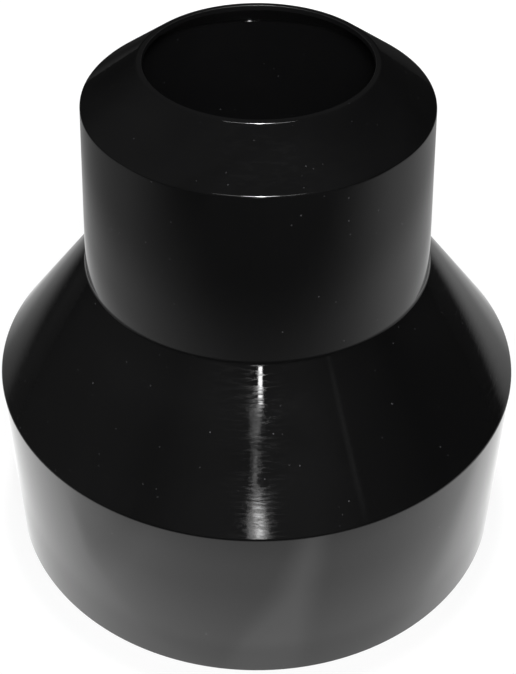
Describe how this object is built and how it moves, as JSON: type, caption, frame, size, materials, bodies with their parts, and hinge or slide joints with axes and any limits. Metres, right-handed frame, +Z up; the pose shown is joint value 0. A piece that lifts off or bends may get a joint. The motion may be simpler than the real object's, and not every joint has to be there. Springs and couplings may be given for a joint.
{
  "type": "flue rain collar",
  "caption": "Stepped round collar with a wide skirt, a cone, a narrower upper tube and a coned top with a round opening; slides down a flue pipe and sheds rain clear of its way through a roof.",
  "frame": {"origin": "centre of the skirt's open end, in the plane it stands on", "axes": "+Z up along the collar's axis, from the skirt to the flue opening; the picture looks along +Y from above"},
  "size_m": [0.26, 0.26, 0.2615],
  "materials": {
    "collar": "gloss black, with fine concentric lines on the cones"
  },
  "bodies": {
    "root": {"rain_collar": "collar"}
  },
  "joints": []
}
